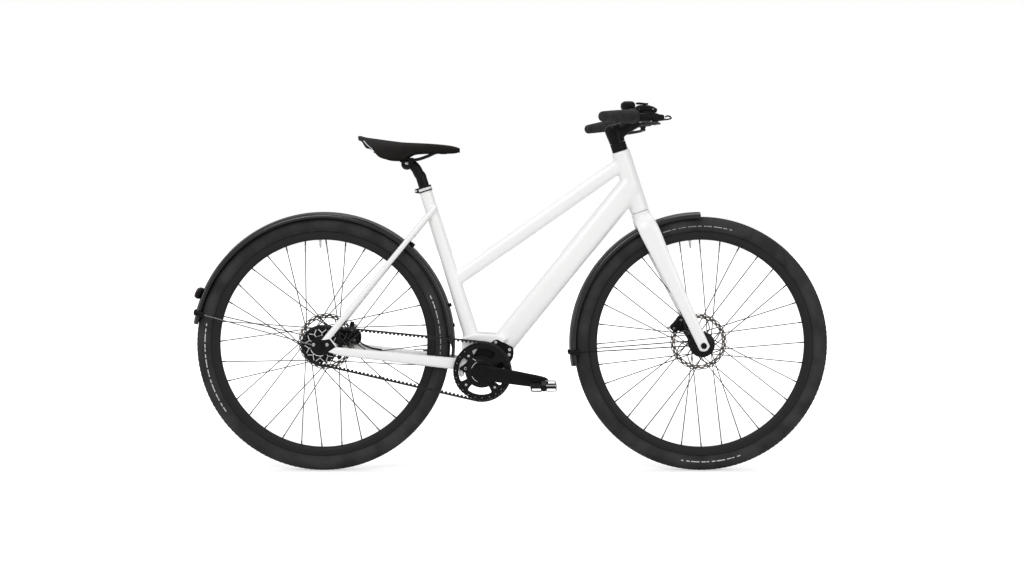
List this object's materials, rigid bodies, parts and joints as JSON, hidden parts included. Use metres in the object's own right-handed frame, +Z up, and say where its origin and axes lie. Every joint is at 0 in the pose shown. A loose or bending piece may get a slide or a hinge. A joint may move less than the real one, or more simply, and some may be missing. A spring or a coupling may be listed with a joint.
{
  "type": "electric bicycle",
  "caption": "City electric bicycle with a low sloping frame, centre motor, battery inside the down tube, toothed belt drive, spoked wheels, mudguards and disc brakes.",
  "frame": {"origin": "on the ground, under the middle of the bicycle's length, in its centre plane", "axes": "+X forward, +Y to the rider's left, +Z up"},
  "size_m": [1.7589, 0.6842, 1.024],
  "materials": {
    "white_paint": "satin white paint",
    "black_paint": "satin black paint",
    "black_metal": "black anodised",
    "black_plastic": "fine matt grain",
    "bright_metal": "bare, brushed",
    "disc_steel": "ground and heat tinted",
    "tyre_rubber": "matt",
    "grip_rubber": "matt",
    "belt_rubber": "matt",
    "saddle_cover": "smooth with a soft sheen",
    "red_lens": "clear gloss"
  },
  "bodies": {
    "frame": {"head_tube": "white_paint", "top_tube": "white_paint", "down_tube": "white_paint", "seat_tube": "white_paint", "motor_bracket": "white_paint", "chain_stay_right": "white_paint", "chain_stay_left": "white_paint", "seat_stay_right": "white_paint", "seat_stay_left": "white_paint", "dropout_right": "black_metal", "dropout_left": "black_metal", "battery_pack": "black_plastic", "motor_housing": "black_plastic", "motor_cover": "black_plastic", "seat_clamp": "black_metal", "rear_axle": "black_metal", "rear_mudguard": "black_plastic", "rear_mudguard_stay": "black_metal", "rear_light_housing": "black_plastic", "rear_light_lens": "red_lens", "rear_brake_caliper": "black_metal", "rear_brake_hose": "black_plastic", "drive_belt": "belt_rubber"},
    "steering": {"fork": "white_paint", "stem": "black_paint", "stem_faceplate": "black_paint", "handlebar": "black_paint", "grip_right": "grip_rubber", "grip_left": "grip_rubber", "brake_lever_body_right": "black_plastic", "brake_lever_body_left": "black_plastic", "display_unit": "black_plastic", "shifter_body": "black_plastic", "brake_hose_right": "black_plastic", "brake_hose_left": "black_plastic", "front_axle": "black_metal", "front_mudguard": "black_plastic", "front_mudguard_stay": "black_metal", "front_brake_caliper": "black_metal"},
    "front_wheel": {"front_tyre": "tyre_rubber", "front_rim": "black_paint", "front_hub_spokes": "black_metal", "front_brake_disc": "disc_steel"},
    "rear_wheel": {"rear_tyre": "tyre_rubber", "rear_rim": "black_paint", "rear_hub_spokes": "black_metal", "rear_brake_disc": "disc_steel"},
    "rear_sprocket": {"rear_belt_sprocket": "bright_metal"},
    "crank": {"crank_arm_right": "black_paint", "crank_arm_left": "black_paint", "front_belt_ring": "black_metal"},
    "pedal_right": {"pedal_right": "black_metal"},
    "pedal_left": {"pedal_left": "black_metal"},
    "seat": {"seatpost": "black_metal", "saddle_clamp": "black_metal", "saddle_rails": "black_metal", "saddle_shell": "saddle_cover"},
    "brake_lever_right": {"brake_lever_blade_right": "black_metal"},
    "brake_lever_left": {"brake_lever_blade_left": "black_metal"},
    "shifter_lever": {"shifter_lever": "black_plastic"}
  },
  "joints": [
    {"name": "steering", "type": "hinge", "parent": "frame", "child": "steering", "pos_m": [0.35915, 0, 0.71756], "axis": [-0.31, 0, 0.9507], "range_deg": [-70, 70]},
    {"name": "front_wheel_spin", "type": "hinge", "parent": "steering", "child": "front_wheel", "pos_m": [0.52726, 0, 0.352], "axis": [0, 1, 0], "continuous": true},
    {"name": "rear_wheel_spin", "type": "hinge", "parent": "frame", "child": "rear_wheel", "pos_m": [-0.51974, 0, 0.352], "axis": [0, 1, 0], "continuous": true},
    {"name": "crank_spin", "type": "hinge", "parent": "frame", "child": "crank", "pos_m": [-0.07964, 0, 0.2797], "axis": [0, 1, 0], "continuous": true, "deforming": ["drive_belt"]},
    {"name": "rear_sprocket_spin", "type": "hinge", "parent": "frame", "child": "rear_sprocket", "pos_m": [-0.51974, 0, 0.352], "axis": [0, 1, 0], "continuous": true},
    {"name": "pedal_right_spin", "type": "hinge", "parent": "crank", "child": "pedal_right", "pos_m": [0.08798, -0.057, 0.25135], "axis": [0, 1, 0], "continuous": true},
    {"name": "pedal_left_spin", "type": "hinge", "parent": "crank", "child": "pedal_left", "pos_m": [-0.24726, 0.057, 0.30805], "axis": [0, 1, 0], "continuous": true},
    {"name": "seatpost_slide", "type": "slide", "parent": "frame", "child": "seat", "axis": [-0.3029, 0, 0.953], "range_m": [-0.03, 0.06]},
    {"name": "brake_lever_right_pull", "type": "hinge", "parent": "steering", "child": "brake_lever_right", "pos_m": [0.38379, -0.168, 0.95408], "axis": [0, 0, -1], "range_deg": [0, 22], "stiffness_Nm_per_rad": 1.5, "springref_deg": -11.46},
    {"name": "brake_lever_left_pull", "type": "hinge", "parent": "steering", "child": "brake_lever_left", "pos_m": [0.38379, 0.168, 0.95408], "axis": [0, 0, 1], "range_deg": [0, 22], "stiffness_Nm_per_rad": 1.5, "springref_deg": -11.46},
    {"name": "shifter_push", "type": "hinge", "parent": "steering", "child": "shifter_lever", "pos_m": [0.35979, -0.146, 1.00709], "axis": [0, 0, -1], "range_deg": [0, 20], "stiffness_Nm_per_rad": 0.05, "springref_deg": -11.46}
  ],
  "couplings": [
    {"joint": "rear_sprocket_spin", "follows": "crank_spin", "ratio": 1.5333}
  ]
}
